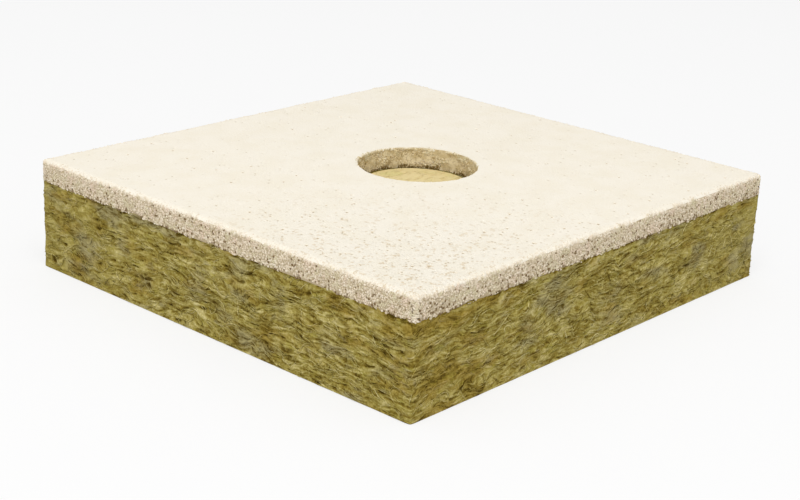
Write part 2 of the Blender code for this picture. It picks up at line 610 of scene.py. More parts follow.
@dataclass(frozen=True)
class WoolFinish:
    """Resin-bonded mineral wool: straw to olive, with painted shade in its folds, and patches of other
    tints.
    """

    # The sides' five tones, darkest first, are partly the wool's own colour with its dark binder and
    # partly painted shade between its fibres; the cut face's colours hold no such shade.
    fold_shade: Colour = Colour(86, 68, 12)
    shade: Colour = Colour(131, 112, 41)
    body: Colour = Colour(158, 143, 71)
    light: Colour = Colour(186, 172, 103)
    straw: Colour = Colour(212, 199, 140)
    greyish: Colour = Colour(160, 151, 116)
    ochre: Colour = Colour(152, 124, 38)
    sprout: Colour = Colour(162, 150, 50)
    cut_face: Colour = Colour(236, 218, 168)
    cut_face_shade: Colour = Colour(229, 209, 149)
    cut_face_tinge: Colour = Colour(214, 206, 132)
    tints: tuple[Tint, ...] = (
        Tint(greyish, Patches(1 / 0.030, 0.50, 0.70, 0.60), -0.1),
        Tint(ochre, Patches(1.3 / 0.030, 0.50, 0.72, 0.62), 0.16),
        Tint(sprout, Patches(1 / 0.008, 0.56, 0.74, 0.45)),
        Tint(greyish, Patches(0.8 / 0.008, 0.58, 0.76, 0.40)),
    )
    tint_flattening: float = 2.2
    rich_reach: float = 0.055
    smooth_reach: float = 0.13
    smooth_contrast: float = 0.5
    smooth_lift: float = 0.04
    strand: Streaks = Streaks(0.0066, 0.00090, 3.0, 1.25)
    lock: Streaks = Streaks(0.0120, 0.0021, 1.0, 0.8)
    # Crevices: dark lines of painted shade, also sunk by the bump.
    crevice: Streaks = Streaks(0.0080, 0.0024, 2.0, 0.26)
    crevice_width: float = 0.035
    crevice_patches: Patches = Patches(0.7 / 0.008, 0.40, 0.62)
    crumb: float = 0.0012
    crumb_gain: float = 0.8
    broad_cells: float = 2.2 / 0.030
    broad_gain: float = 0.42
    bump_depth: float = 0.0008
    roughness: tuple[float, float] = (0.78, 0.98)
    grain_cells: tuple[float, float, float] = (160.0, 900.0, 900.0)
    grain_gain: float = 0.9
    grain_depth: float = 0.0002
    cloud_cells: float = 110.0
    tinge: Patches = Patches(75.0, 0.5, 0.7, 0.45)

    def _tinted(self, sheet: Shading, tone: NodeSocket, rich: Vector) -> NodeSocket:
        """Colour by tone, with larger patches and small tufts of other tints.

        Args:
            sheet: The material that is being built.
            tone: Dark to light, 0 to 1.
            rich: The place round which the wool holds most binder and is ochre.

        Returns:
            The colour.
        """
        colour = sheet.ramp(tone, (self.fold_shade, self.shade, self.body, self.light, self.straw))
        flat = sheet.stretched(sheet.place, (1.0, 1.0, self.tint_flattening))
        near = sheet.near([rich], self.rich_reach)
        # Where the tone is low, the tints give way to the darkest colour, so that they keep its painted
        # shade.
        out_of_fold_shade = sheet.between(tone, 0.0, 0.7)
        for tint in self.tints:
            share = sheet.patched(tint.patches, flat, sheet.math("MULTIPLY", near, tint.pull))
            colour = sheet.mix(share, colour, sheet.mix(out_of_fold_shade, self.fold_shade, tint.colour))
        return colour

    def _along_layers(self, sheet: Shading, streaks: Streaks) -> NodeSocket:
        """Noise drawn out along the matted layers, whose bends the mesh carries.

        Args:
            sheet: The material that is being built.
            streaks: What the noise stands for.

        Returns:
            The noise.
        """
        axes = sheet.axes()
        level = sheet.math("ADD", axes["Z"], sheet.attribute("bend"))
        bent = sheet.add("ShaderNodeCombineXYZ", {"X": axes["X"], "Y": axes["Y"], "Z": level})
        cells = (1 / streaks.length, 1 / streaks.length, 1 / streaks.thickness)
        return sheet.noise(sheet.stretched(bent.outputs[0], cells), 1.0, streaks.detail)

    def matted(self, rich: Vector, smooth: Sequence[Vector]) -> Material:
        """The finish of the slab's sides and of its loose fibres.

        Args:
            rich: The place round which the wool holds most binder.
            smooth: Two corners near which the wool is most even.

        Returns:
            The material, with pale strands and locks between thin crevices, which the bump sinks and
            which are painted dark as their shade.
        """
        sheet = Shading("mineral_wool", 0.9, 0.12)
        strands = self._along_layers(sheet, self.strand)
        locks = self._along_layers(sheet, self.lock)
        # The crevices enter both the bump and the tone: sunk by the bump, and painted dark as their
        # shade.
        crevices = sheet.lines(self._along_layers(sheet, self.crevice), self.crevice_width)
        crevices = sheet.math("MULTIPLY", crevices, sheet.patched(self.crevice_patches))
        hills = sheet.total(
            sheet.around(strands, self.strand.gain),
            sheet.around(locks, self.lock.gain),
            sheet.around(sheet.noise(sheet.place, 1 / self.crumb), self.crumb_gain),
        )
        fine = sheet.math("SUBTRACT", hills, sheet.math("MULTIPLY", crevices, self.crevice.gain))
        near = sheet.near(smooth, self.smooth_reach)
        shown = sheet.math("MULTIPLY", fine, sheet.spread(near, 1.0, self.smooth_contrast))
        shown = sheet.math("MULTIPLY_ADD", near, self.smooth_lift, shown)
        broad = sheet.around(sheet.noise(sheet.place, self.broad_cells, 1.0), self.broad_gain)
        shown = sheet.math("ADD", shown, broad)
        tone = sheet.math("ADD", sheet.attribute("tone"), shown, clamp=True)
        roughness = sheet.spread(strands, *self.roughness)
        return sheet.finish(self._tinted(sheet, tone, rich), fine, self.bump_depth, roughness)

    def cut_out_floor(self) -> Material:
        """The finish of the pale, pressed wool face that shows in the cut-out.

        Returns:
            The material.
        """
        sheet = Shading("mineral_wool_face", 0.9, 0.2)
        grain = sheet.noise(sheet.stretched(sheet.place, self.grain_cells), 1.0, 3.0)
        cloud = sheet.noise(sheet.place, self.cloud_cells)
        share = sheet.total(sheet.around(grain, self.grain_gain), cloud, sheet.attribute("tone"))
        share = sheet.math("SUBTRACT", share, 0.5, clamp=True)
        colour = sheet.mix(share, self.cut_face_shade, self.cut_face)
        colour = sheet.mix(sheet.patched(self.tinge), colour, self.cut_face_tinge)
        return sheet.finish(colour, grain, self.grain_depth, sheet.spread(grain, *self.roughness))


@dataclass(frozen=True)
class GranuleFinish:
    """Bonded light granules: cream on the smooth face, beige where sawn, with painted shade in the
    pores.
    """

    face: Colour = Colour(249, 242, 227)
    face_shade: Colour = Colour(246, 238, 220)
    speck: Colour = Colour(214, 191, 153)
    # The body's colour below the face: painted shade in its pits and behind the side granules.
    pore: Colour = Colour(188, 170, 138)
    # The lowest tone of the granules: painted shade of the pores and of the gap under the board.
    hole: Colour = Colour(124, 102, 70)
    sawn_dark: Colour = Colour(212, 197, 170)
    sawn_light: Colour = Colour(234, 221, 199)
    sawn_rosy: Colour = Colour(228, 207, 187)
    sawn_green: Colour = Colour(212, 203, 168)
    # The darkest colour of the cut-out's wall: painted shade at its foot, by the saw groove.
    shaded_foot: Colour = Colour(124, 102, 56)
    # The cut-out's wall colours: the board's own colour darkened with painted shade and tinted with
    # painted warm light bounced from the wool.
    wall_shade_deep: Colour = Colour(168, 146, 104)
    wall_shade_dark: Colour = Colour(208, 190, 148)
    wall_shade_pale: Colour = Colour(232, 218, 184)
    cloud_cells: float = 60.0
    clouding: tuple[float, float] = (0.72, 1.12)
    specks: Patches = Patches(1 / 0.0028, 0.58, 0.68)
    speck_reach: float = 0.20
    speck_strength: tuple[float, float] = (0.05, 0.70)
    face_relief: tuple[float, float] = (0.2, 0.7)
    face_bump: float = 0.0008
    face_roughness: tuple[float, float] = (0.70, 1.0)
    granule: float = 0.0011
    granule_bump: float = 0.0002
    granule_roughness: tuple[float, float] = (0.75, 1.0)
    pore_shade_depth: float = 0.0005
    worn_depth: float = 0.0014
    blotches: Patches = Patches(260.0, 0.36, 0.62, detail=3.0)
    crack_cells: float = 190.0
    crack_width: float = 0.03
    crack_strength: float = 0.5
    wall_cloud_cells: float = 90.0
    wall_gain: float = 0.3
    tinted_tone: float = 0.45
    tint_patches: tuple[Patches, Patches] = (
        Patches(170.0, 0.50, 0.66, 0.7),
        Patches(210.0, 0.50, 0.66, 0.7),
    )

    def _face(self, sheet: Shading, fine: NodeSocket, rough: NodeSocket) -> NodeSocket:
        """Colour of the finished face: cream, faintly clouded, with brown specks where it is rough.

        Args:
            sheet: The material that is being built.
            fine: Fine noise.
            rough: 1 at the roughest corner, 0 far from it.

        Returns:
            The colour.
        """
        cloud = sheet.noise(sheet.place, self.cloud_cells, 4.0)
        mottled = sheet.math("ADD", sheet.math("MULTIPLY", fine, 0.8), cloud)
        cream = sheet.mix(sheet.between(mottled, *self.clouding), self.face, self.face_shade)
        strength = sheet.spread(rough, *self.speck_strength)
        specks = sheet.math("MULTIPLY", sheet.patched(self.specks), strength)
        return sheet.mix(specks, cream, self.speck)

    def _plaster(self, sheet: Shading) -> NodeSocket:
        """Colour of the cut-out's wall behind its granules, in painted shade and warm light bounced from
        the wool: blotched, with winding dark cracks.

        Args:
            sheet: The material that is being built.

        Returns:
            The colour.
        """
        plaster = sheet.mix(sheet.patched(self.blotches), self.wall_shade_dark, self.wall_shade_pale)
        cracks = sheet.lines(sheet.noise(sheet.place, self.crack_cells), self.crack_width)
        cracks = sheet.math("MULTIPLY", cracks, self.crack_strength)
        return sheet.mix(cracks, plaster, self.wall_shade_deep)

    def body(
        self, top: float, face: tuple[float, float], corner: Vector, centre: Vector, reach: float
    ) -> Material:
        """The finish of the board's body: cream on the face, with painted brown shade in the pits and at
        the sides.

        Args:
            top: Height of the finished face.
            face: Half the length and width of the flat part of the face.
            corner: The corner where the face is roughest.
            centre: The middle of the cut-out.
            reach: Radius within which the body belongs to the cut-out's wall.

        Returns:
            The material.
        """
        sheet = Shading("granule_board", 0.88, 0.25)
        fine = sheet.noise(sheet.place, 1.3 / self.granule)
        rough = sheet.near([corner], self.speck_reach)
        axes = sheet.axes()
        beyond = [sheet.math("SUBTRACT", sheet.math("ABSOLUTE", axes[i]), face[i]) for i in (0, 1)]
        rim = sheet.math("GREATER_THAN", sheet.math("MAXIMUM", *beyond), 0.0)
        depth = sheet.math("SUBTRACT", top, axes["Z"])
        depth = sheet.math("SUBTRACT", depth, sheet.math("MULTIPLY", rim, self.worn_depth))
        # Below the face the body darkens with depth: painted shade in the pits and behind the granules.
        sunk = sheet.between(depth, 0.2 * self.pore_shade_depth, self.pore_shade_depth)
        inside = sheet.math("LESS_THAN", sheet.from_axis(centre), reach)
        deep = sheet.mix(inside, self.pore, self._plaster(sheet))
        colour = sheet.mix(sunk, self._face(sheet, fine, rough), deep)
        granules = sheet.rounded_cells(1 / self.granule)
        relief = sheet.math("SUBTRACT", sheet.math("MULTIPLY", fine, 0.7), granules)
        relief = sheet.math("MULTIPLY", relief, sheet.spread(rough, *self.face_relief))
        return sheet.finish(colour, relief, self.face_bump, sheet.spread(fine, *self.face_roughness))

    def _granules(self, name: str, colours: Sequence[Colour], tints: Sequence[Colour]) -> Material:
        """A finish of loose and broken granules, whose tone the mesh carries.

        Args:
            name: The material's name.
            colours: Colours from the lowest tone to the highest.
            tints: Two colours of patches, where the tone is neither dark nor pale.

        Returns:
            The material.
        """
        sheet = Shading(name, 0.9, 0.25)
        fine = sheet.noise(sheet.place, 2.0 / self.granule)
        cloud = sheet.around(sheet.noise(sheet.place, self.wall_cloud_cells), self.wall_gain)
        tone = sheet.math("ADD", sheet.around(fine, self.wall_gain), sheet.attribute("tone"))
        tone = sheet.math("ADD", tone, cloud, clamp=True)
        colour = sheet.ramp(tone, colours)
        off_middle = sheet.math("ABSOLUTE", sheet.math("SUBTRACT", tone, self.tinted_tone))
        middling = sheet.between(off_middle, 0.4, 0.1)
        for patches, tint in zip(self.tint_patches, tints):
            share = sheet.math("MULTIPLY", sheet.patched(patches), middling)
            colour = sheet.mix(share, colour, tint)
        roughness = sheet.spread(fine, *self.granule_roughness)
        return sheet.finish(colour, fine, self.granule_bump, roughness)

    def sawn(self) -> Material:
        """The finish of the board's sawn sides, cream like the face where the tone is highest."""
        colours = (self.hole, self.sawn_dark, self.sawn_light, self.face)
        return self._granules("granules_sawn", colours, (self.sawn_rosy, self.sawn_green))

    def shaded_wall(self) -> Material:
        """The finish of the cut-out's wall, tinted with painted shade and warm light bounced from the
        wool.
        """
        colours = (self.shaded_foot, self.wall_shade_deep, self.wall_shade_dark, self.wall_shade_pale, self.face)
        return self._granules("granules_shaded_wall", colours, (self.sawn_green, self.sawn_dark))


@dataclass
class PanelLayer:
    """One of the panel's two layers, between its lowest and highest corners."""

    low: Vector
    high: Vector
    cut_out_centre: Vector
    cut_out_radius: float
    corner_radius: float

    def __post_init__(self) -> None:
        """Work out the layer's size, middle and outline."""
        self.size = self.high - self.low
        self.middle = (self.low + self.high) / 2
        self.perimeter = Perimeter(self.size.x, self.size.y, self.corner_radius)


class Form(Enum):
    """How a noise shapes the wool's cut surface. All but the lumps follow the bent layers."""

    RIDGES = auto()
    STREAKS = auto()
    LUMPS = auto()
    HOLLOWS = auto()

    def shaped(self, value: np.ndarray) -> np.ndarray:
        """Give a noise this form.

        Args:
            value: The noise.

        Returns:
            Crests where it passes zero for ridges, its highest parts alone for hollows, or all of it.
        """
        if self is Form.RIDGES:
            return 1.0 - 2.2 * np.abs(value)
        if self is Form.HOLLOWS:
            return np.maximum(value - 0.55, 0.0)
        return value


@dataclass(frozen=True)
class SurfaceNoise:
    """One noise of the wool's cut surface, and how strongly it moves the relief and the tone."""

    form: Form
    noise: SmoothNoise
    relief: float
    tone: float


@dataclass(frozen=True)
class FibreKind:
    """One kind of loose fibre bundle. Pairs are the low and high ends of a random choice."""

    count: int
    length: tuple[float, float]
    width: tuple[float, float]
    flatness: float
    lift: tuple[float, float]
    tone: tuple[float, float]


@dataclass
class WoolSlab(PanelLayer):
    """The mineral wool slab: matted layers cut on four sides, loose fibres and the cut-out's floor.

    fibre_starts and fibre_limits are heights over the slab's bottom and over its top. floor_bulge
    holds the steps of the floor's bulge, inwards and upwards, as shares of its rise.
    """

    corner_radius: float = 0.0012
    corner_reach: float = 0.007
    corner_relief: float = 0.35
    climb: float = 0.0006
    climb_zone: float = 0.003
    climb_noise: SmoothNoise = SmoothNoise(34, 0.0035, 0.0035)
    # Painted shade in bits of the wool just under the board, within edge_zone of its top.
    edge_zone: float = 0.0018
    under_board_shade: float = 0.7
    edge_share: float = 0.1
    edge_noise: SmoothNoise = SmoothNoise(34, 0.0030, 0.0030)
    core_inset: float = 0.0035
    core_rise: float = 0.0001
    column_step: float = 0.0008
    row_step: float = 0.00045
    map_step: float = 0.001
    calm_edge: float = 0.0012
    mean_relief: float = 0.0002
    most_relief: float = 0.0004
    mean_tone: float = 0.46
    kerf_width: float = 0.0024
    kerf_depth: float = 0.0015
    floor_rise: float = 0.0014
    floor_bulge: tuple[tuple[float, float], ...] = ((0.5, 0.7), (0.9, 0.3))
    fibre_cuts: int = 5
    fibre_stray: float = 0.45
    fibre_curl: float = 0.55
    fibre_tuck: float = 0.0004
    fibre_starts: tuple[float, float] = (0.0005, -0.0003)
    fibre_limits: tuple[float, float] = (0.0004, 0.0009)
    fibre_layer_share: float = 0.35
    fibre_layer_tone: float = 0.45
    most_fibre_lift: float = 0.0006
    floor_fibre_lean: tuple[float, float] = (0.2, 0.5)
    floor_fibre_tuck: float = 0.0003
    floor_fibre_gap: float = 0.00005
    rich_offset: float = 0.022
    bends: tuple[tuple[float, SmoothNoise], ...] = (
        (0.0040, SmoothNoise(21, 0.032, 0.014)),
        (0.0022, SmoothNoise(22, 0.0120, 0.0072)),
        (0.0009, SmoothNoise(23, 0.0050, 0.0034)),
    )
    noises: tuple[SurfaceNoise, ...] = (
        SurfaceNoise(Form.RIDGES, SmoothNoise(31, 0.0065, 0.0026), 0.00020, 0.08),
        SurfaceNoise(Form.RIDGES, SmoothNoise(32, 0.0042, 0.0014), 0.00024, 0.12),
        SurfaceNoise(Form.STREAKS, SmoothNoise(33, 0.0026, 0.00085), 0.00020, 0.12),
        SurfaceNoise(Form.LUMPS, SmoothNoise(34, 0.011, 0.008), 0.00020, 0.06),
        # The hollows are sunk into the mesh and also painted darker, as their shade.
        SurfaceNoise(Form.HOLLOWS, SmoothNoise(35, 0.0060, 0.0013), -0.0030, -1.2),
    )
    kinds: tuple[FibreKind, ...] = (
        FibreKind(520, (0.005, 0.011), (0.0007, 0.0011), 0.5, (-0.0002, 0.0003), (0.20, 0.75)),
        FibreKind(700, (0.004, 0.013), (0.0005, 0.0008), 0.8, (0.0, 0.0004), (0.45, 0.90)),
    )
    floor_kind: FibreKind = FibreKind(
        240, (0.004, 0.012), (0.0002, 0.0004), 0.6, (0.0, 0.00015), (0.2, 1.0)
    )
    finish: WoolFinish = field(default_factory=WoolFinish)

    def measure_sides(self, solid: Object) -> None:
        """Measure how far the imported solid's sides lie inside their outline.

        Args:
            solid: The slab's own node.
        """
        tree = BVHTree.FromObject(solid, bpy.context.evaluated_depsgraph_get())
        around = np.arange(0.0, self.perimeter.breaks[-1], self.map_step)
        heights = np.arange(self.low.z + self.map_step / 2, self.high.z, self.map_step)
        self.depth = np.zeros((len(around), len(heights)))
        start_out, reach = 0.01, 0.03
        for i, (point, away) in enumerate(zip(*self.perimeter.at(around))):
            inwards = Vector((-away[0], -away[1], 0.0))
            for j, height in enumerate(heights):
                place = Vector((point[0] + self.middle.x, point[1] + self.middle.y, height))
                hit = tree.ray_cast(place - inwards * start_out, inwards, reach)[3]
                self.depth[i, j] = 0.0 if hit is None else hit - start_out

    def _sunk(self, around: np.ndarray, height: np.ndarray) -> np.ndarray:
        """Read the measured depth between its points.

        Args:
            around: Distances along the perimeter.
            height: Heights.

        Returns:
            How far the solid's side lies inside its outline there.
        """
        columns, rows = self.depth.shape
        u = around / self.map_step
        v = np.clip((height - self.low.z) / self.map_step - 0.5, 0.0, rows - 1.001)
        i, j = np.floor(u).astype(int), np.floor(v).astype(int)
        fu, fv = u - i, v - j
        value = np.zeros(np.shape(u))
        for di, dj in itertools.product((0, 1), repeat=2):
            share = (fu if di else 1 - fu) * (fv if dj else 1 - fv)
            value += share * self.depth[np.mod(i + di, columns), j + dj]
        return value

    def _bend(self, points: np.ndarray) -> np.ndarray:
        """How far the matted layers are lifted at each place."""
        return sum(rise * noise(points) for rise, noise in self.bends)

    def _surface(self, around: np.ndarray, height: np.ndarray) -> tuple[np.ndarray, ...]:
        """The cut surface of the matted layers, with painted shade in its hollows and in bits just under
        the board.

        Args:
            around: Distances along the perimeter.
            height: Heights.

        Returns:
            How far the surface stands out of its outline, its tone, and the bend of the layers.
        """
        points = raised(self.perimeter.at(around)[0], height)
        bend = self._bend(points)
        level = points + raised(np.zeros((*bend.shape, 2)), bend)
        relief, tone = 0.0, self.mean_tone
        for part in self.noises:
            value = part.form.shaped(part.noise(points if part.form is Form.LUMPS else level))
            relief = relief + part.relief * value
            tone = tone + part.tone * value
        calm = np.clip((height - self.low.z) / self.calm_edge, 0.0, 1.0)
        from_corner = np.clip(self.perimeter.from_corner(around) / self.corner_reach, 0.0, 1.0)
        steady = self.corner_relief + (1.0 - self.corner_relief) * from_corner
        out = steady * (calm * (relief - self.mean_relief) - self._sunk(around, height))
        # Painted shade in bits just under the board.
        upper = fade(self.high.z - height, self.edge_zone)
        bits = np.clip(self.edge_noise(points) + self.edge_share, 0.0, 1.0)
        tone = tone - self.under_board_shade * upper * bits
        return np.minimum(out, self.most_relief), tone, bend

    def _climbed(self, around: np.ndarray, height: np.ndarray) -> np.ndarray:
        """Heights, with the uppermost wool climbing unevenly into the board's lower granules."""
        points = raised(self.perimeter.at(around)[0], 0.0 * height)
        share = fade(self.high.z - height, self.climb_zone)
        return height + share * self.climb * (0.5 + self.climb_noise(points))

    def _placed(self, around: np.ndarray, height: np.ndarray, out: np.ndarray) -> np.ndarray:
        """Points in space from their places on the sides and how far they stand out."""
        points, outward = self.perimeter.at(around)
        flat = points + outward * out[..., None] + np.array([self.middle.x, self.middle.y])
        return raised(flat, height)

    def model_core(self, matted: Material, pale: Material) -> Object:
        """Model the slab's middle, with the saw groove round the cut-out's pale, bulging floor.

        Args:
            matted: The finish of the wool.
            pale: The finish of the pressed face that shows in the cut-out.

        Returns:
            The core, which ends inside the cut sides.
        """
        size = self.size - Vector((2 * self.core_inset, 2 * self.core_inset, self.core_rise))
        core = added(bpy.ops.mesh.primitive_cube_add, "wool_core", size=1.0)
        with editing(core):
            bpy.ops.mesh.select_all(action="SELECT")
            scale(size)
            bpy.ops.transform.translate(value=(*self.middle.xy, self.middle.z + self.core_rise / 2))
            pick(core, "EDGE", climbs(size.z / 2))
            bpy.ops.mesh.bevel(offset=self.corner_radius, segments=3)
        cut_away(core, self._groove_cutter())
        core.data.materials.clear()
        core.data.materials.append(matted)
        core.data.materials.append(pale)
        with editing(core):
            pick(core, "FACE", self._is_floor)
            core.active_material_index = 1
            bpy.ops.object.material_slot_assign()
            for inward, upward in self.floor_bulge:
                bpy.ops.mesh.inset(thickness=self.floor_rise * inward, depth=self.floor_rise * upward)
        levels = np.full(len(core.data.vertices), 0.5)
        add_values(core.data, {"tone": levels, "bend": levels * 0.0})
        shade(core, 40)
        return core

    def _is_floor(self, face: bmesh.types.BMFace) -> bool:
        """Whether a face of the core is the cut-out's floor.

        Args:
            face: The face.

        Returns:
            True for the upward face inside the saw groove.
        """
        inside = self.cut_out_radius - self.kerf_width / 2
        centre = self.cut_out_centre.xy
        middling = (face.calc_center_median().xy - centre).length < self.cut_out_radius / 4
        within = all((vertex.co.xy - centre).length < inside for vertex in face.verts)
        return face.normal.z > 0.99 and middling and within

    def _groove_cutter(self) -> Object:
        """Model the ring that the hole saw's teeth took out of the wool.

        Returns:
            The ring.
        """
        ring = added(
            bpy.ops.mesh.primitive_torus_add,
            major_segments=128,
            minor_segments=8,
            major_radius=self.cut_out_radius - self.kerf_width / 2,
            minor_radius=self.kerf_width / 2,
            location=(self.cut_out_centre.x, self.cut_out_centre.y, self.high.z),
        )
        with editing(ring):
            bpy.ops.mesh.select_all(action="SELECT")
            scale((1.0, 1.0, 2 * self.kerf_depth / self.kerf_width), ring.location)
        return ring

    def model_side(self, side: Side, material: Material) -> Object:
        """Model one cut side: a fine sheet of matted layers, with a back that lies inside the core.

        Args:
            side: The side.
            material: The finish.

        Returns:
            The side, closed.
        """
        start, end = self.perimeter.side_span(side)
        columns = round((end - start) / self.column_step)
        rows = round(self.size.z / self.row_step)
        sheet = added(
            bpy.ops.mesh.primitive_grid_add,
            f"wool_side_{side.label}",
            x_subdivisions=columns,
            y_subdivisions=rows,
            size=1.0,
        )
        flat = np.empty(len(sheet.data.vertices) * 3)
        sheet.data.vertices.foreach_get("co", flat)
        flat = flat.reshape(-1, 3)
        around = start + (flat[:, 0] + 0.5) * (end - start)
        height = self.low.z + (flat[:, 1] + 0.5) * self.size.z
        out, tone, bend = self._surface(around, height)
        places = self._placed(around, self._climbed(around, height), out)
        sheet.data.vertices.foreach_set("co", places.ravel())
        # The tone carries the painted shade under the board and in the hollows.
        add_values(sheet.data, {"tone": tone, "bend": bend})
        outward = self.perimeter.at(np.array([(start + end) / 2]))[1][0]
        back = (np.array([self.size.x, self.size.y]) / 2 - 2 * self.core_inset) * outward
        keep = (1.0 - abs(round(outward[0])), 1.0 - abs(round(outward[1])), 1.0)
        with editing(sheet):
            pick_boundary()
            extrude_edges(0.0)
            scale(keep, (self.middle.x + back[0], self.middle.y + back[1], 0.0))
            bpy.ops.mesh.edge_face_add()
            face_outwards()
        sheet.data.materials.append(material)
        shade(sheet, 75)
        return sheet

    def model_fibre(self) -> Template:
        """Model one straight fibre bundle with pointed ends, which its copies bend.

        Returns:
            The template, 1 in radius, along Z from -0.5 to 0.5.
        """
        fibre = added(bpy.ops.mesh.primitive_cylinder_add, vertices=3, radius=1.0, depth=1.0)
        with editing(fibre):
            pick(fibre, "EDGE", climbs(0.5))
            bpy.ops.mesh.subdivide(number_cuts=self.fibre_cuts)
            second = 0.5 - 1 / (self.fibre_cuts + 1)
            for level, width in ((-0.5, 0.12), (-second, 0.7), (second, 0.7), (0.5, 0.12)):
                pick(fibre, "VERT", lambda vertex: abs(vertex.co.z - level) < 0.01)
                scale((width, width, 1.0), (0.0, 0.0, level))
            bpy.ops.mesh.select_all(action="SELECT")
            bpy.ops.mesh.quads_convert_to_tris()
            face_outwards()
        return Template.take(fibre)

    def _ring_of(self, fibre: Template) -> np.ndarray:
        """Number of the ring that each of the fibre's vertices belongs to."""
        return np.rint((fibre.vertices[:, 2] + 0.5) * (self.fibre_cuts + 1)).astype(int)

    def _slope(self, around: np.ndarray, height: np.ndarray) -> np.ndarray:
        """The angle at which the layers climb along the side.

        Args:
            around: Distances along the perimeter.
            height: Heights.

        Returns:
            The angles.
        """
        probe = 0.0004

        def bend(shift_around: float, shift_height: float) -> np.ndarray:
            """The bend of the layers at a small shift from each place."""
            flat = self.perimeter.at(around + shift_around)[0]
            return self._bend(raised(flat, height + shift_height))

        along = (bend(probe, 0.0) - bend(-probe, 0.0)) / (2 * probe)
        upward = 1.0 + (bend(0.0, probe) - bend(0.0, -probe)) / (2 * probe)
        return np.arctan2(-along, upward)

    def _swept(
        self, centre: np.ndarray, facing: np.ndarray, width: np.ndarray, flatness: float, fibre: Template
    ) -> np.ndarray:
        """Bend copies of the fibre along their middle lines.

        Args:
            centre: Points of each fibre's middle line.
            facing: The surface's outward direction at those points.
            width: Each fibre's width.
            flatness: Thickness as a share of the width.
            fibre: The modelled fibre.

        Returns:
            The copies' vertices.
        """
        tangent = unit(np.gradient(centre, axis=1))
        sideways = unit(np.cross(tangent, facing))
        upright = np.cross(sideways, tangent)
        ring = self._ring_of(fibre)
        across = fibre.vertices[:, 0][None, :, None] * width[:, None, None] / 2
        thick = fibre.vertices[:, 1][None, :, None] * width[:, None, None] / 2 * flatness
        return centre[:, ring] + sideways[:, ring] * across + upright[:, ring] * thick

    def _paths(self, side: Side, kind: FibreKind, rng: np.random.Generator) -> tuple[np.ndarray, ...]:
        """Middle lines of one kind of fibre, which follow the layers of a side and stray from them.

        Args:
            side: The side.
            kind: The kind of fibre.
            rng: Random numbers.

        Returns:
            Distances along the perimeter and heights, a row for each fibre.
        """
        along = np.linspace(-1.0, 1.0, self.fibre_cuts + 2)
        length = rng.uniform(*kind.length, kind.count)
        around = [rng.uniform(*self.perimeter.side_span(side), kind.count)]
        lowest, highest = self.low.z + self.fibre_starts[0], self.high.z + self.fibre_starts[1]
        height = [rng.uniform(lowest, highest, kind.count)]
        stray = rng.normal(0.0, self.fibre_stray, kind.count)
        curl = rng.normal(0.0, self.fibre_curl, kind.count)
        step = length / (len(along) - 1)
        for place in along[:-1]:
            angle = self._slope(around[-1], height[-1]) + stray + curl * place
            around.append(around[-1] + np.cos(angle) * step)
            height.append(height[-1] + np.sin(angle) * step)
        lowest, highest = self.low.z + self.fibre_limits[0], self.high.z + self.fibre_limits[1]
        return np.array(around).T, np.clip(np.array(height).T, lowest, highest)

    def lay_fibres(self, side: Side, fibre: Template, material: Material) -> Object:
        """Lay loose fibre bundles over one cut side, along the matted layers.

        Args:
            side: The side.
            fibre: The modelled fibre bundle.
            material: The finish.

        Returns:
            One object with all of the side's fibres.
        """
        rng = np.random.default_rng(100 + side.value)
        ring = self._ring_of(fibre)
        tuck = self.fibre_tuck * np.abs(np.linspace(-1.0, 1.0, self.fibre_cuts + 2))[None] ** 4
        vertices, tones, bends = [], [], []
        for kind in self.kinds:
            around, height = self._paths(side, kind, rng)
            out, tone, bend = self._surface(around, height)
            out = out + rng.uniform(*kind.lift, kind.count)[:, None] - tuck
            centre = self._placed(around, height, np.minimum(out, self.most_fibre_lift))
            facing = raised(self.perimeter.at(around)[1], 0.0 * height)
            width = rng.uniform(*kind.width, kind.count)
            vertices.append(self._swept(centre, facing, width, kind.flatness, fibre).reshape(-1, 3))
            base = rng.uniform(*kind.tone, kind.count)[:, None]
            # Each fibre takes a share of the tone beneath it, with that tone's painted shade under the
            # board and in the hollows.
            under = tone[:, ring] - self.fibre_layer_tone
            tones.append((base + self.fibre_layer_share * under).ravel())
            bends.append(bend[:, ring].ravel())
        points = np.concatenate(vertices)
        values = {"tone": np.concatenate(tones), "bend": np.concatenate(bends)}
        triangles = fibre.repeated(len(points) // len(fibre.vertices))
        return object_of(f"wool_fibres_{side.label}", points, triangles, values, material)

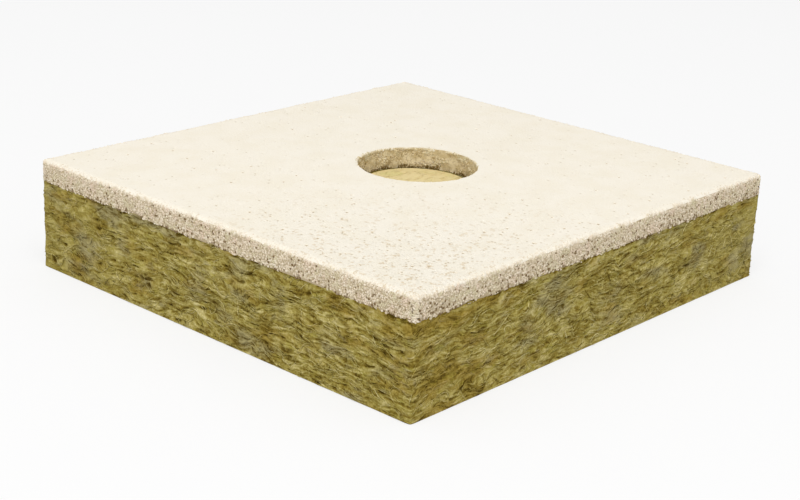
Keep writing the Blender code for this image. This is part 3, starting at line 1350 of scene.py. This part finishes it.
    def lay_floor_fibres(self, fibre: Template, material: Material) -> Object:
        """Lay thin fibres flat on the pale floor of the cut-out.

        Args:
            fibre: The modelled fibre bundle.
            material: The finish.

        Returns:
            One object with all of them.
        """
        rng = np.random.default_rng(200)
        kind, rings = self.floor_kind, self.fibre_cuts + 2
        number = kind.count
        clear = self.cut_out_radius - self.kerf_width - 1.5 * self.floor_rise
        reach = clear * np.sqrt(rng.uniform(0, 1, number))
        turn = rng.uniform(0, 2 * math.pi, number)
        length = rng.uniform(*kind.length, number)
        along = np.linspace(-0.5, 0.5, rings)
        lean = rng.normal(*self.floor_fibre_lean, number)[:, None]
        angle = lean + rng.normal(0.0, 1.0, number)[:, None] * along[None]
        path = np.cumsum(headings(angle) * (length / (rings - 1))[:, None, None], axis=1)
        path += (headings(turn) * reach[:, None])[:, None] - path[:, rings // 2][:, None]
        out = np.linalg.norm(path, axis=-1, keepdims=True)
        path *= np.minimum(1.0, clear / np.maximum(out, NO_LENGTH))
        tuck = self.floor_fibre_tuck * np.abs(2 * along)[None] ** 4
        rise = rng.uniform(*kind.lift, number)[:, None] - tuck
        height = self.high.z + self.floor_rise + self.floor_fibre_gap + rise
        centre = raised(path + np.array(self.cut_out_centre.xy), height)
        facing = np.broadcast_to(np.array([0.0, 0.0, 1.0]), centre.shape)
        width = rng.uniform(*kind.width, number)
        vertices = self._swept(centre, facing, width, kind.flatness, fibre)
        tones = np.broadcast_to(rng.uniform(*kind.tone, number)[:, None], vertices.shape[:2])
        points = vertices.reshape(-1, 3)
        triangles = fibre.repeated(number)
        return object_of("wool_fibres_cut_out", points, triangles, {"tone": tones}, material)

    def build(self, solid: Object) -> tuple[Object, list[Object]]:
        """Build and dress the slab.

        Args:
            solid: The slab's own node.

        Returns:
            The core, and the other pieces.
        """
        self.measure_sides(solid)
        rich = self.low + Vector((self.rich_offset, 0.0, 0.0))
        smooth = (Vector((self.high.x, self.low.y, 0.0)), Vector((self.low.x, self.high.y, 0.0)))
        matted = self.finish.matted(rich, smooth)
        pale = self.finish.cut_out_floor()
        core = self.model_core(matted, pale)
        fibre = self.model_fibre()
        pieces = [self.model_side(side, matted) for side in Side]
        pieces += [self.lay_fibres(side, fibre, matted) for side in Side]
        pieces.append(self.lay_floor_fibres(fibre, pale))
        return core, pieces


@dataclass(frozen=True)
class PitKind:
    """One kind of pit in the face: how many, how far its floor is drawn in, and how deep it is."""

    count: int
    inset: float
    depth: float


@dataclass(frozen=True)
class Bed:
    """Where granules are set, one row or value for each of them."""

    places: np.ndarray
    normals: np.ndarray
    proud: np.ndarray
    tones: np.ndarray
    radius: np.ndarray


@dataclass
class FacingBoard(PanelLayer):
    """The board of bonded granules: a pitted body, with granules on its sawn sides and cut-out."""

    corner_radius: float = 0.0022
    worn_radius: float = 0.0028
    worn_wander: float = 0.0013
    worn_noise: SmoothNoise = SmoothNoise(42, 0.007, 0.003)
    worn_steps: int = 3
    worn_paling: float = 0.55
    cut_out_worn_radius: float = 0.0010
    cut_out_wander: float = 0.0007
    cut_out_noise: SmoothNoise = SmoothNoise(43, 0.006, 0.003)
    cut_out_rim: float = 0.0012
    cut_out_darkest: float = 0.18
    cut_out_evenness: float = 0.4
    clump: float = 0.0009
    clump_tone: float = 0.22
    clump_noise: SmoothNoise = SmoothNoise(41, 0.0045, 0.0035)
    # A band of painted shade at the foot of the cut-out's wall.
    foot_height: float = 0.0010
    foot_wander: float = 0.0016
    foot_noise: SmoothNoise = SmoothNoise(45, 0.0055, 0.0055)
    shaded_foot_tone: tuple[float, float] = (-0.1, 0.15)
    recess: float = 0.0005
    saw_wander: float = 0.0006
    face_cell: float = 0.0019
    face_jitter: float = 0.0004
    face_unevenness: float = 0.15
    granule_spacing: float = 0.00115
    granule_jitter: float = 0.3
    row_spacing: float = 0.87
    first_row: float = 0.35
    lowest_place: float = 0.2
    granule_radius: tuple[float, float] = (0.00066, 0.00098)
    granule_proud: tuple[float, float] = (-0.00024, 0.00012)
    granule_depth: float = 0.93
    cut_out_granule_radius: tuple[float, float] = (0.0007, 0.0012)
    cut_out_granule_proud: tuple[float, float] = (-0.0002, 0.0001)
    granule_shapes: int = 6
    granule_sides: tuple[float, float, float] = (1.0, 0.92, 0.84)
    missing: float = 0.03
    # Chances and tone of dark granules that paint the shade of pores and, in the lowest rows, of the gap
    # under the board.
    pore_shade_chance: float = 0.17
    gap_shade_chance: float = 0.38
    gap_shade_rows: float = 0.9
    shade_granule_tone: tuple[float, float] = (-0.1, 0.12)
    wall_tone: tuple[float, float] = (0.24, 0.76)
    palest_tone: tuple[float, float] = (0.78, 1.1)
    ragged: float = 0.00012
    ragged_share: tuple[float, float] = (-1.0, 1.6)
    chip_height: float = 0.0032
    chip_least: float = 0.3
    chip_noise: SmoothNoise = SmoothNoise(44, 0.0035, 0.0035)
    hang: float = 0.0009
    face_zone: float = 0.0032
    face_proud: tuple[float, float] = (-0.00005, 0.0003)
    face_tone: tuple[float, float] = (0.62, 1.15)
    coarse_zone: float = 0.016
    coarse_zone_reach: float = 0.075
    coarse_reach: float = 0.10
    far_pits: float = 0.10
    pits: tuple[PitKind, ...] = (
        PitKind(520, 0.00068, 0.00024),
        PitKind(320, 0.00058, 0.00034),
        PitKind(110, 0.00050, 0.00050),
    )
    finish: GranuleFinish = field(default_factory=GranuleFinish)

    def model_body(self) -> Object:
        """Model the body: a pitted face, a worn edge, recessed sides and the cut-out.

        Returns:
            The body, closed.
        """
        inset = self.worn_radius + self.recess
        face_length, face_width = self.size.x - 2 * inset, self.size.y - 2 * inset
        body = added(
            bpy.ops.mesh.primitive_grid_add,
            "granule_board",
            x_subdivisions=round(face_length / self.face_cell),
            y_subdivisions=round(face_width / self.face_cell),
            size=1.0,
        )
        with editing(body):
            bpy.ops.mesh.select_all(action="SELECT")
            scale((face_length, face_width, 1.0))
            bpy.ops.transform.translate(value=(self.middle.x, self.middle.y, self.high.z))
            self._roughen_face()
            self._close_below()
            self._draw_corners_in(body)
        cut_away(body, self._cut_out_cutter())
        with editing(body):
            self._press_pits(body)
        return body

    def _cut_out_cutter(self) -> Object:
        """Model what the hole saw took out of the board, with the unevenness that it left.

        Returns:
            The cutter.
        """
        cutter = added(
            bpy.ops.mesh.primitive_cylinder_add,
            vertices=96,
            radius=self.cut_out_radius + self.recess,
            depth=3 * self.size.z,
            location=(*self.cut_out_centre.xy, self.middle.z),
        )
        with editing(cutter):
            pick(cutter, "EDGE", climbs(self.size.z))
            bpy.ops.mesh.subdivide(number_cuts=11)
            pick(cutter, "VERT", lambda vertex: abs(vertex.co.z) < 1.4 * self.size.z)
            bpy.ops.transform.vertex_random(offset=self.saw_wander, seed=8)
        return cutter

    def _roughen_face(self) -> None:
        """Shift the face's inner vertices, so that it is slightly uneven and its cells irregular."""
        pick_boundary()
        bpy.ops.mesh.select_all(action="INVERT")
        bpy.ops.transform.vertex_random(offset=self.face_jitter, seed=5)
        scale((1.0, 1.0, self.face_unevenness), (0.0, 0.0, self.high.z))

    def _close_below(self) -> None:
        """Draw the face's boundary round the worn edge, down the side, and close it at the bottom."""
        pick_boundary()
        face = Vector((self.size.x, self.size.y)) - Vector((2, 2)) * (self.worn_radius + self.recess)
        before, sunk = face, 0.0
        for step in range(1, self.worn_steps + 1):
            turn = QUARTER_TURN * step / self.worn_steps
            grown = face + Vector((2, 2)) * self.worn_radius * math.sin(turn)
            lower = self.worn_radius * (1 - math.cos(turn))
            extrude_edges(sunk - lower)
            wider = (grown.x / before.x, grown.y / before.y, 1.0)
            scale(wider, (self.middle.x, self.middle.y, self.high.z))
            before, sunk = grown, lower
        extrude_edges(sunk - self.size.z)
        bpy.ops.mesh.edge_face_add()
        face_outwards()

    def _draw_corners_in(self, body: Object) -> None:
        """Draw the body's four upright corners inwards, behind the rounded corners of its granules.

        Args:
            body: The body, in edit mode.
        """
        half = self.size / 2
        inset = self.worn_radius + self.recess + TOLERANCE
        step = -self.corner_radius / 3
        for along, across in itertools.product((-1, 1), repeat=2):
            pick(
                body,
                "VERT",
                lambda vertex: along * (vertex.co.x - self.middle.x) > half.x - inset
                and across * (vertex.co.y - self.middle.y) > half.y - inset,
            )
            bpy.ops.transform.translate(value=(along * step, across * step, 0.0))

    def _pit_places(self, sheet: bmesh.types.BMesh) -> dict[int, Vector]:
        """Find the cells of the face that can take a pit.

        Args:
            sheet: The body's mesh.

        Returns:
            Face number to the face's middle, away from the edge and the cut-out.
        """
        half = self.size / 2
        clear = self.worn_radius + self.recess + 2 * self.face_cell
        places: dict[int, Vector] = {}
        for face in sheet.faces:
            place = face.calc_center_median()
            offset = place - self.middle
            flat = face.normal.z > 0.9 and place.z > self.high.z - self.recess / 2
            inside = max(abs(offset.x) - half.x, abs(offset.y) - half.y) < -clear
            beside = (place.xy - self.cut_out_centre.xy).length > self.cut_out_radius + clear
            if len(face.verts) == 4 and flat and inside and beside:
                places[face.index] = place
        return places

    def _press_pits(self, body: Object) -> None:
        """Press small pits into cells of the face, more of them near the roughest corner.

        Args:
            body: The body, in edit mode.
        """
        rng = np.random.default_rng(31)
        sheet = bmesh.from_edit_mesh(body.data)
        places = self._pit_places(sheet)
        away = np.array([(place.xy - self.low.xy).length for place in places.values()])
        weights = self.far_pits + np.exp(-((away / self.coarse_reach) ** 2))
        total = sum(kind.count for kind in self.pits)
        chosen = rng.choice(np.array(list(places)), total, replace=False, p=weights / weights.sum())
        marks = sheet.faces.layers.int.new("pit")
        sheet.faces.ensure_lookup_table()
        numbers = np.repeat(np.arange(len(self.pits)) + 1, [kind.count for kind in self.pits])
        for index, number in zip(chosen, numbers):
            sheet.faces[index][marks] = int(number)
        bmesh.update_edit_mesh(body.data)
        for number, kind in enumerate(self.pits, 1):
            marks = bmesh.from_edit_mesh(body.data).faces.layers.int["pit"]
            pick(body, "FACE", lambda face: face[marks] == number)
            bpy.ops.mesh.inset(thickness=kind.inset, depth=-kind.depth, use_individual=True)
            self._unmark(body)

    def _unmark(self, body: Object) -> None:
        """Clear the marks of the pits that are pressed, and of the walls that they gained.

        Args:
            body: The body, in edit mode.
        """
        sheet = bmesh.from_edit_mesh(body.data)
        marks = sheet.faces.layers.int["pit"]
        for face in sheet.faces:
            if face.select or len(face.verts) != 4 or abs(face.normal.z) < 0.98:
                face[marks] = 0
        bmesh.update_edit_mesh(body.data)

    def model_granules(self) -> list[Template]:
        """Model a few different granules, about 1 in radius.

        Returns:
            The templates.
        """
        shapes = []
        for number in range(self.granule_shapes):
            granule = added(bpy.ops.mesh.primitive_ico_sphere_add, subdivisions=1, radius=1.0)
            with editing(granule):
                bpy.ops.mesh.select_all(action="SELECT")
                bpy.ops.transform.vertex_random(offset=0.2, seed=number + 1)
                scale(self.granule_sides)
            shapes.append(Template.take(granule))
        return shapes

    def _copies(
        self, name: str, bed: Bed, shapes: list[Template], material: Material, rng: np.random.Generator
    ) -> Object:
        """Set granules into a surface, each turned at random.

        Args:
            name: The new object's name.
            bed: Where they are set.
            shapes: The modelled granules.
            material: The finish.
            rng: Random numbers.

        Returns:
            One object with all of the granules.
        """
        w, x, y, z = unit(rng.normal(size=(len(bed.places), 4))).T
        rows = (
            (1 - 2 * (y * y + z * z), 2 * (x * y - z * w), 2 * (x * z + y * w)),
            (2 * (x * y + z * w), 1 - 2 * (x * x + z * z), 2 * (y * z - x * w)),
            (2 * (x * z - y * w), 2 * (y * z + x * w), 1 - 2 * (x * x + y * y)),
        )
        turn = np.stack([np.stack(row, axis=-1) for row in rows], axis=1)
        sunk = bed.radius * self.granule_depth - bed.proud
        centre = bed.places - bed.normals * sunk[:, None]
        which = rng.integers(0, len(shapes), len(bed.places))
        vertices, triangles, values, count = [], [], [], 0
        for index, shape in enumerate(shapes):
            mine = which == index
            turned = np.einsum("nij,vj->nvi", turn[mine], shape.vertices)
            points = centre[mine][:, None] + turned * bed.radius[mine][:, None, None]
            vertices.append(points.reshape(-1, 3))
            triangles.append(shape.repeated(int(mine.sum())) + count)
            values.append(np.repeat(bed.tones[mine], len(shape.vertices)))
            count += len(vertices[-1])
        tones = {"tone": np.concatenate(values)}
        return object_of(name, np.concatenate(vertices), np.concatenate(triangles), tones, material)

    def _scattered(
        self, start: float, end: float, high: float, rng: np.random.Generator
    ) -> tuple[np.ndarray, np.ndarray]:
        """Places on a strip, in rows that are set off by half a step and jittered, with some left out.

        Args:
            start: Where the strip starts.
            end: Where it ends.
            high: How high it is.
            rng: Random numbers.

        Returns:
            Distances along it and heights on it.
        """
        pitch, jitter = self.granule_spacing, self.granule_jitter
        rows = np.arange(pitch * self.first_row, high, pitch * self.row_spacing)
        along, up = np.meshgrid(np.arange(start, end, pitch), rows, indexing="ij")
        along = along + (np.arange(len(rows)) % 2)[None] * pitch / 2
        along = along + rng.uniform(-jitter, jitter, along.shape) * pitch
        up = up + rng.uniform(-jitter, jitter, up.shape) * pitch
        kept = rng.uniform(0, 1, along.shape) > self.missing
        return along[kept], np.clip(up[kept], pitch * self.lowest_place, high)

    def _tones(self, up: np.ndarray, turn: np.ndarray, rng: np.random.Generator) -> np.ndarray:
        """Give each granule a tone: dark with painted shade where it stands for a pore and, in the
        lowest rows, for the gap under the board; pale at the worn edge.

        Args:
            up: Heights on the strip.
            turn: The angles of the surface from the wall's direction.
            rng: Random numbers.

        Returns:
            The tones.
        """
        number = len(up)
        worn = self.worn_paling * np.sin(turn) ** 1.3
        tones = rng.uniform(*self.wall_tone, number) + worn
        tones = np.minimum(tones, rng.uniform(*self.palest_tone, number))
        share = fade(up, self.size.z - self.worn_radius / 2)
        lowest = up < self.granule_spacing * self.gap_shade_rows
        chance = np.where(lowest, self.gap_shade_chance, self.pore_shade_chance * share)
        dark = rng.uniform(0, 1, number) < chance
        return np.where(dark, rng.uniform(*self.shade_granule_tone, number), tones)

    def _over_edge(self, up: np.ndarray, radius: np.ndarray) -> tuple[np.ndarray, ...]:
        """Fold a strip's height over a worn edge: up the wall, round the edge and in over the face.

        Args:
            up: Heights on the strip.
            radius: Radii of the worn edge.

        Returns:
            Heights, distances inwards and the angles of the surface from the wall's direction.
        """
        wall = self.size.z - radius
        turn = np.clip((up - wall) / radius, 0.0, QUARTER_TURN)
        height = np.minimum(up, wall) + radius * np.sin(turn)
        inward = radius * (1 - np.cos(turn)) + np.maximum(up - wall - QUARTER_TURN * radius, 0.0)
        return height, inward, turn

    def _kept_on_side(self, side: Side, rng: np.random.Generator) -> tuple[np.ndarray, ...]:
        """Scatter places over a side and the face beside it, chipped below and thinner over the face.

        Args:
            side: The side.
            rng: Random numbers.

        Returns:
            Distances along the perimeter, heights on the strip, shares of the way in over the zone of
            loose granules on the face, and the chips' noise.
        """
        edge = self.size.z + (QUARTER_TURN - 1) * self.worn_radius
        along, up = self._scattered(*self.perimeter.side_span(side), edge + self.coarse_zone, rng)
        outline = self.perimeter.at(along)[0]
        away = np.linalg.norm(outline - np.array((self.low - self.middle).xy), axis=1)
        coarse = np.exp(-((away / self.coarse_zone_reach) ** 2))
        zone = self.face_zone + (self.coarse_zone - self.face_zone) * coarse
        beyond = np.maximum(up - edge, 0.0) / zone
        chips = self.chip_noise(raised(outline, 0.0 * up))
        unchipped = up > self.chip_height * (chips - self.chip_least)
        kept = (rng.uniform(0, 1, len(up)) > beyond) & unchipped
        return along[kept], up[kept], beyond[kept], chips[kept]

    def set_side(self, side: Side, shapes: list[Template], material: Material) -> Object:
        """Set granules over one sawn side, its worn edge and the rim of the face.

        Args:
            side: The side.
            shapes: The modelled granules.
            material: The finish.

        Returns:
            One object with all of them.
        """
        rng = np.random.default_rng(300 + side.value)
        along, up, beyond, chips = self._kept_on_side(side, rng)
        number, loose = len(up), beyond > 0
        points, outward = self.perimeter.at(along)
        radius = self.worn_radius + self.worn_wander * self.worn_noise(raised(points, up))
        height, inward, turn = self._over_edge(up, radius)
        height = height - self.hang * np.clip(-chips, 0.0, 1.0) * fade(up, self.chip_height)
        flat = points - outward * inward[:, None] + np.array([self.middle.x, self.middle.y])
        proud = rng.uniform(*self.granule_proud, number)
        proud = proud + rng.uniform(*self.ragged_share, number) * (self.ragged * np.sin(turn))
        proud = np.where(loose, rng.uniform(*self.face_proud, number), proud)
        tones = self._tones(up, turn, rng)
        bed = Bed(
            places=raised(flat, self.low.z + height),
            normals=raised(outward * np.cos(turn)[:, None], np.sin(turn)),
            proud=proud,
            tones=np.where(loose, rng.uniform(*self.face_tone, number), tones),
            radius=rng.uniform(*self.granule_radius, number),
        )
        return self._copies(f"board_granules_{side.label}", bed, shapes, material, rng)

    def set_cut_out(self, shapes: list[Template], material: Material) -> Object:
        """Set granules over the wall and rim of the cut-out, the lowest of them dark with painted shade.

        Args:
            shapes: The modelled granules.
            material: The finish.

        Returns:
            One object with all of them.
        """
        rng = np.random.default_rng(400)
        worn = self.cut_out_worn_radius
        strip = self.size.z + (QUARTER_TURN - 1) * worn + self.cut_out_rim
        along, up = self._scattered(0.0, 2 * math.pi * self.cut_out_radius, strip, rng)
        number = len(up)
        away = headings(along / self.cut_out_radius)
        wander = self.cut_out_noise(raised(away * self.cut_out_radius, up))
        height, inward, turn = self._over_edge(up, worn + self.cut_out_wander * wander)
        flat = away * (self.cut_out_radius + inward)[:, None] + np.array(self.cut_out_centre.xy)
        places = raised(flat, self.low.z + height)
        clump = self.clump_noise(places)
        wall = np.cos(turn)
        proud = rng.uniform(*self.cut_out_granule_proud, number) + self.clump * clump * wall
        tones = np.maximum(self._tones(up, turn, rng), self.cut_out_darkest)
        tones = tones + self.cut_out_evenness * (0.5 - tones) * wall + self.clump_tone * clump
        # Granules in a band at the wall's foot take painted shade.
        shaded_foot = self.foot_height + self.foot_wander * self.foot_noise(places * (1, 1, 0))
        bed = Bed(
            places=places,
            normals=raised(-away * wall[:, None], np.sin(turn)),
            proud=proud,
            tones=np.where(up < shaded_foot, rng.uniform(*self.shaded_foot_tone, number), tones),
            radius=rng.uniform(*self.cut_out_granule_radius, number),
        )
        return self._copies("board_granules_cut_out", bed, shapes, material, rng)

    def build(self) -> tuple[Object, list[Object]]:
        """Build and dress the board.

        Returns:
            The body, and the objects with the granules.
        """
        body = self.model_body()
        reach = self.cut_out_radius + self.recess * 1.5
        rim = self.worn_radius + self.recess + self.face_cell / 2
        face = (self.size.x / 2 - rim, self.size.y / 2 - rim)
        finish = self.finish.body(self.high.z, face, self.low, self.cut_out_centre, reach)
        body.data.materials.append(finish)
        shade(body, 35)
        shapes = self.model_granules()
        sawn = self.finish.sawn()
        granules = [self.set_side(side, shapes, sawn) for side in Side]
        granules.append(self.set_cut_out(shapes, self.finish.shaded_wall()))
        return body, granules


@dataclass(frozen=True)
class Lamp:
    """A square soft lamp that faces the panel, with its power in watts."""

    name: str
    place: tuple[float, float, float]
    size: float
    power: float

    def hang(self) -> None:
        """Hang the lamp in its place."""
        data = bpy.data.lights.new(self.name, "AREA")
        data.shape = "SQUARE"
        data.size = self.size
        data.energy = self.power
        lamp = bpy.data.objects.new(self.name, data)
        lamp.location = self.place
        lamp.rotation_mode = "QUATERNION"
        lamp.rotation_quaternion = (-Vector(self.place)).to_track_quat("-Z", "Y")
        bpy.context.scene.collection.objects.link(lamp)


@dataclass
class Studio:
    """A pale floor, soft lamps and the camera at the photograph's viewpoint."""

    floor_height: float
    target: tuple[float, float, float] = (0.0240, 0.0252, 0.0)
    distance: float = 0.9665
    azimuth: float = math.radians(221.49)
    elevation: float = math.radians(19.53)
    roll: float = math.radians(2.73)
    focal_length_mm: float = 72.6
    sensor_width_mm: float = 36.0
    floor_radius: float = 6.0
    floor_white: float = 0.92
    floor_glow: float = 0.7
    sky: float = 0.55
    lamps: tuple[Lamp, ...] = (
        Lamp("overhead", (-1.0, -0.9, 2.8), 2.0, 46.0),
        Lamp("front_left", (-2.0, -1.1, 1.0), 1.6, 9.0),
    )

    def set_camera(self) -> None:
        """Place the camera."""
        flat = math.cos(self.elevation)
        back = Vector(
            (flat * math.cos(self.azimuth), flat * math.sin(self.azimuth), math.sin(self.elevation))
        )
        right = (-back).cross(Vector((0.0, 0.0, 1.0))).normalized()
        up = right.cross(-back)
        across = right * math.cos(self.roll) + up * math.sin(self.roll)
        upward = up * math.cos(self.roll) - right * math.sin(self.roll)
        turn = Matrix((across, upward, back)).transposed().to_4x4()
        camera = added(bpy.ops.object.camera_add)
        camera.data.lens = self.focal_length_mm
        camera.data.sensor_width = self.sensor_width_mm
        camera.data.clip_start = 0.01
        camera.matrix_world = Matrix.Translation(Vector(self.target) + back * self.distance) @ turn
        bpy.context.scene.camera = camera

    def lay_floor(self) -> Object:
        """Lay a wide white floor that keeps the object's shadow.

        Returns:
            The floor.
        """
        floor = added(
            bpy.ops.mesh.primitive_circle_add,
            "floor",
            vertices=96,
            radius=self.floor_radius,
            fill_type="NGON",
            location=(0.0, 0.0, self.floor_height),
        )
        material = bpy.data.materials.new("studio_floor")
        material.use_nodes = True
        tree = material.node_tree
        tree.nodes.clear()
        white = (*(self.floor_white,) * 3, 1.0)
        lit = add_node(tree, "ShaderNodeBsdfDiffuse", {"Color": white}).outputs[0]
        glow = add_node(tree, "ShaderNodeEmission").outputs[0]
        inputs = {0: self._seen(tree), 1: self.floor_glow}
        share = add_node(tree, "ShaderNodeMath", inputs, operation="MULTIPLY").outputs[0]
        mix = add_node(tree, "ShaderNodeMixShader", {0: share, 1: lit, 2: glow})
        add_node(tree, "ShaderNodeOutputMaterial", {"Surface": mix.outputs[0]})
        floor.data.materials.append(material)
        return floor

    def light_world(self) -> None:
        """Give the world a soft white light, and a white background to the camera."""
        world = bpy.data.worlds.new("studio")
        world.use_nodes = True
        bpy.context.scene.world = world
        tree = world.node_tree
        background = tree.nodes["Background"]
        background.inputs["Color"].default_value = (1.0, 1.0, 1.0, 1.0)
        inputs = {"To Min": self.sky, "To Max": 1.0, "Value": self._seen(tree)}
        level = add_node(tree, "ShaderNodeMapRange", inputs)
        tree.links.new(level.outputs["Result"], background.inputs["Strength"])

    def _seen(self, tree: NodeTree) -> NodeSocket:
        """Where a surface is seen straight, in a reflection or through glass, and lights nothing.

        Args:
            tree: The material's or the world's nodes.

        Returns:
            1 there, and 0 elsewhere.
        """
        path = add_node(tree, "ShaderNodeLightPath").outputs
        total = path["Is Camera Ray"]
        for name in ("Is Glossy Ray", "Is Transmission Ray"):
            both = add_node(tree, "ShaderNodeMath", {0: total, 1: path[name]}, operation="MAXIMUM")
            total = both.outputs[0]
        return total

    def build(self) -> Object:
        """Set up the whole studio.

        Returns:
            The floor.
        """
        bpy.context.scene.view_settings.view_transform = "Standard"
        self.set_camera()
        self.light_world()
        for lamp in self.lamps:
            lamp.hang()
        return self.lay_floor()


def dress(piece: Object) -> None:
    """Fix a new piece to the panel and report it.

    Args:
        piece: The piece.
    """
    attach(piece, BODY)
    piece.data.calc_loop_triangles()
    log.info("%s: %d triangles", piece.name, len(piece.data.loop_triangles))


def main() -> None:
    """Build every piece in order, and report each."""
    logging.basicConfig(level=logging.INFO, format="%(name)s: %(message)s")
    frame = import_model()
    opening = next(o for o in frame["record"]["physics"]["openings"] if o["name"] == "cut_out")
    centre = (Vector(opening["box_m"][0]) + Vector(opening["box_m"][1])) / 2

    board = FacingBoard(*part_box(BOARD_NODE), centre, CUT_OUT_RADIUS)
    board_body, granules = board.build()
    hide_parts(BOARD_NODE)
    for piece in (board_body, *granules):
        dress(piece)

    wool = WoolSlab(*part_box(WOOL_NODE), centre, CUT_OUT_RADIUS)
    wool_core, fibres = wool.build(frame["nodes"][WOOL_NODE])
    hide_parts(WOOL_NODE)
    for piece in (wool_core, *fibres):
        dress(piece)

    Studio(floor_height=wool.low.z - FLOOR_GAP).build()


if __name__ == "__main__":
    main()
